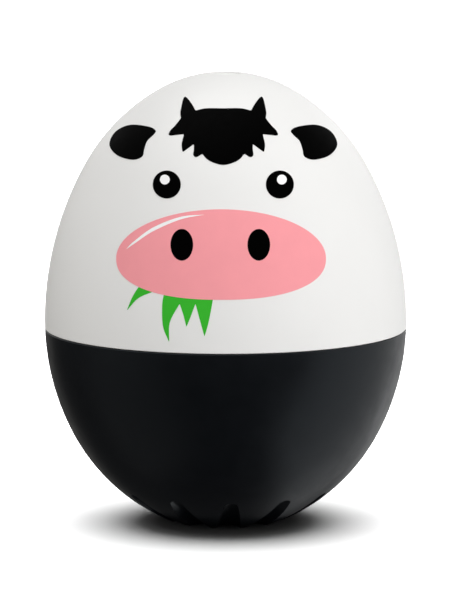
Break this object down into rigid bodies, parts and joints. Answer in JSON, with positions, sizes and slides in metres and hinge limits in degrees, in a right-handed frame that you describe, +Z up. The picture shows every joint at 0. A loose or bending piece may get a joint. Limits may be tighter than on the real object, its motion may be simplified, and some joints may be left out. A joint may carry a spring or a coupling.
{
  "type": "egg timer",
  "caption": "Egg-shaped electronic kitchen timer with a printed animal face, two screwed shells, a ballast weight, a temperature sensor, a sounder and a coin cell.",
  "frame": {"origin": "centre of the foot, on the surface the egg stands on", "axes": "+Z up along the egg's axis, -Y towards the face"},
  "size_m": [0.048, 0.048, 0.0597],
  "materials": {
    "white_shell": "satin",
    "black_shell": "satin",
    "face_black_ink": "satin",
    "face_pink_ink": "satin",
    "face_green_ink": "satin",
    "face_white_ink": "satin",
    "silicone": "matte",
    "ballast_steel": "turned",
    "zinc_screw": "plated",
    "sensor_epoxy": "gloss",
    "copper_wire": "enamelled",
    "thermal_paste": "matte",
    "grey_plastic": "satin",
    "brass_disc": "rolled",
    "white_ceramic": "matte",
    "red_wire": "satin",
    "black_wire": "satin",
    "board_laminate": "solder mask",
    "holder_plastic": "moulded",
    "nickel_spring": "plated",
    "cell_steel": "brushed",
    "cell_gasket": "satin",
    "chip_epoxy": "moulded",
    "tinned_metal": "tinned",
    "crystal_can": "drawn",
    "ferrite": "matte",
    "resistor_body": "glazed",
    "capacitor_body": "matte",
    "solder": "bright"
  },
  "bodies": {
    "lower": {"lower_shell": "black_shell", "ballast_weight": "ballast_steel", "ballast_screws": "zinc_screw", "temperature_sensor": "sensor_epoxy", "sensor_leads": "copper_wire", "thermal_paste": "thermal_paste", "sounder_cup": "grey_plastic", "piezo_plate": "brass_disc", "piezo_ceramic": "white_ceramic", "piezo_lead_red": "red_wire", "piezo_lead_black": "black_wire", "circuit_board": "board_laminate", "board_screws": "zinc_screw", "battery_holder": "holder_plastic", "positive_contact": "nickel_spring", "negative_contact": "nickel_spring", "controller_chip": "chip_epoxy", "chip_pins": "tinned_metal", "clock_crystal": "crystal_can", "coil_core": "ferrite", "coil_winding": "copper_wire", "drive_transistor": "chip_epoxy", "transistor_pins": "tinned_metal", "resistors": "resistor_body", "capacitors": "capacitor_body", "chip_terminals": "tinned_metal", "solder_joints": "solder"},
    "seal": {"seal_ring": "silicone"},
    "upper": {"upper_shell": "white_shell"},
    "coin_cell": {"coin_cell_can": "cell_steel", "coin_cell_gasket": "cell_gasket", "coin_cell_cap": "cell_steel"}
  },
  "joints": [
    {"name": "seal_ring_rise", "type": "slide", "parent": "lower", "child": "seal", "axis": [0, 0, 1], "range_m": [0, 0.0091]},
    {"name": "upper_shell_unscrew", "type": "hinge", "parent": "seal", "child": "upper", "pos_m": [0, 0, 0.0257], "axis": [0, 0, 1], "range_deg": [0, 270]},
    {"name": "coin_cell_lift", "type": "slide", "parent": "lower", "child": "coin_cell", "axis": [0, 0, 1], "range_m": [0, 0.012]}
  ],
  "couplings": [
    {"joint": "seal_ring_rise", "follows": "upper_shell_unscrew", "m_per_rad": 0.0019099}
  ]
}
